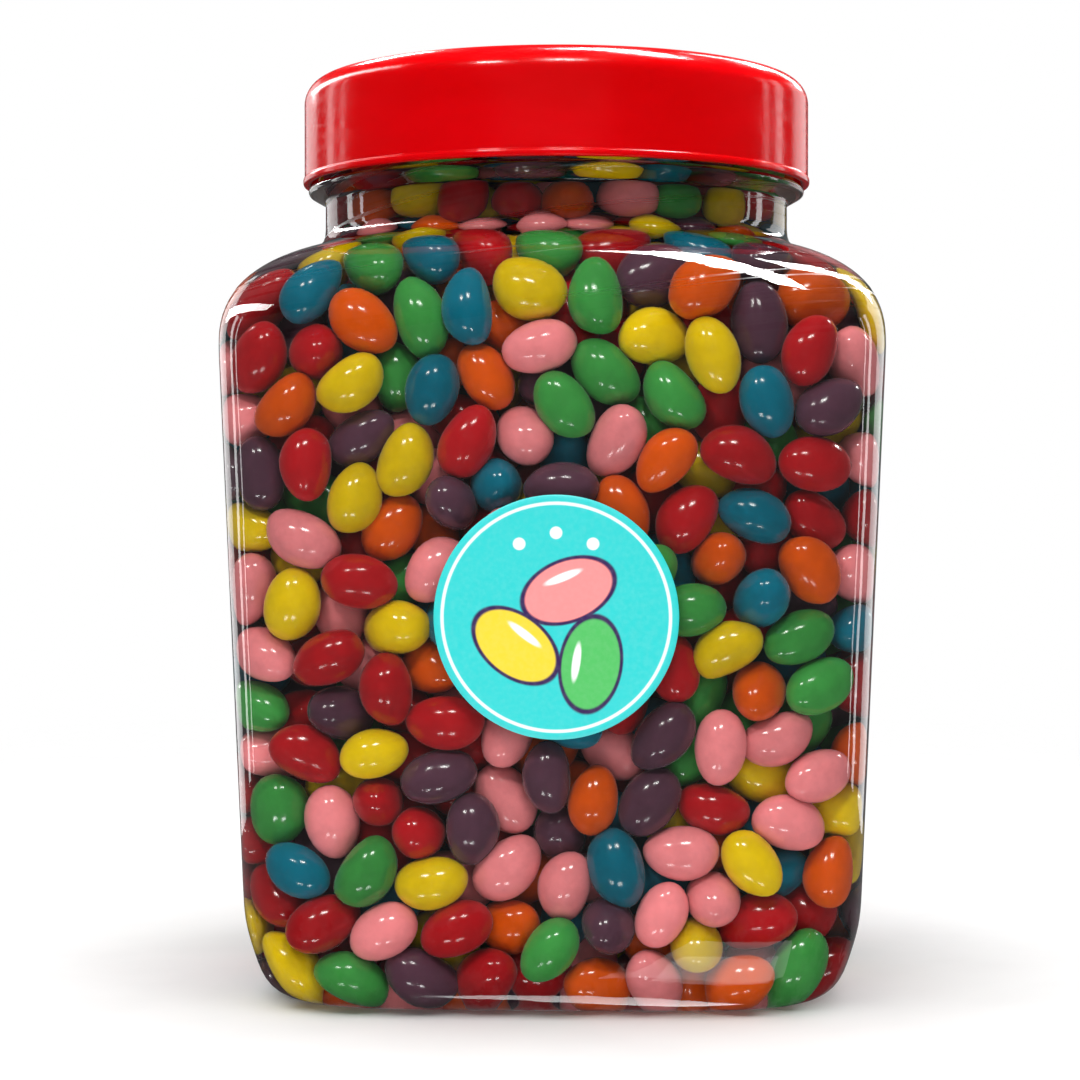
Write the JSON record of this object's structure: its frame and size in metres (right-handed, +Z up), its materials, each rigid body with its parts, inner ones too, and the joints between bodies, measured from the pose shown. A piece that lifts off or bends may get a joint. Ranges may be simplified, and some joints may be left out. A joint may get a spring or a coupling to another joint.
{
  "type": "bulk candy jar",
  "caption": "Clear rounded-square jar with a wide screw cap, foam liner and round front label, filled with loose jelly beans.",
  "frame": {"origin": "centre of the jar's footprint, on the surface the jar stands on", "axes": "+Z up along the jar's axis and the screw cap's axis; -Y is the front face with the round label; +X is to the viewer's right"},
  "size_m": [0.1544, 0.1544, 0.2165],
  "materials": {
    "clear_jar": "gloss",
    "red_plastic": "gloss",
    "foam_liner": "matte",
    "label_print": "satin",
    "bean_bulk": "gloss",
    "bean_red": "gloss",
    "bean_orange": "gloss",
    "bean_yellow": "gloss",
    "bean_green": "gloss",
    "bean_blue": "gloss",
    "bean_purple": "gloss",
    "bean_pink": "gloss"
  },
  "bodies": {
    "jar": {"jar_body": "clear_jar", "front_label": "label_print", "candy_fill": "bean_bulk", "jelly_bean_01": "bean_pink", "jelly_bean_02": "bean_yellow", "jelly_bean_03": "bean_green", "jelly_bean_04": "bean_purple", "jelly_bean_05": "bean_yellow", "jelly_bean_06": "bean_red", "jelly_bean_07": "bean_orange", "jelly_bean_08": "bean_pink", "jelly_bean_09": "bean_blue", "jelly_bean_10": "bean_blue", "jelly_bean_11": "bean_green", "jelly_bean_12": "bean_purple", "jelly_bean_13": "bean_blue", "jelly_bean_14": "bean_orange", "jelly_bean_15": "bean_green", "jelly_bean_16": "bean_blue", "jelly_bean_17": "bean_pink", "jelly_bean_18": "bean_orange", "jelly_bean_19": "bean_green", "jelly_bean_20": "bean_red", "jelly_bean_21": "bean_yellow", "jelly_bean_22": "bean_orange", "jelly_bean_23": "bean_blue", "jelly_bean_24": "bean_red", "jelly_bean_25": "bean_purple", "jelly_bean_26": "bean_yellow", "jelly_bean_27": "bean_yellow", "jelly_bean_28": "bean_orange", "jelly_bean_29": "bean_pink", "jelly_bean_30": "bean_purple", "jelly_bean_31": "bean_green", "jelly_bean_32": "bean_purple", "jelly_bean_33": "bean_green", "jelly_bean_34": "bean_blue", "jelly_bean_35": "bean_orange", "jelly_bean_36": "bean_pink", "jelly_bean_37": "bean_pink", "jelly_bean_38": "bean_red", "jelly_bean_39": "bean_purple", "jelly_bean_40": "bean_red", "jelly_bean_41": "bean_red", "jelly_bean_42": "bean_yellow"},
    "liner": {"cap_liner": "foam_liner"},
    "cap": {"screw_cap": "red_plastic"}
  },
  "joints": [
    {"name": "cap_rise", "type": "slide", "parent": "jar", "child": "liner", "axis": [0, 0, 1], "range_m": [0, 0.0256]},
    {"name": "cap_turn", "type": "hinge", "parent": "liner", "child": "cap", "pos_m": [0, 0, 0.2037], "axis": [0, 0, 1], "range_deg": [0, 1800]}
  ],
  "couplings": [
    {"joint": "cap_rise", "follows": "cap_turn", "m_per_rad": 0.00080851}
  ]
}
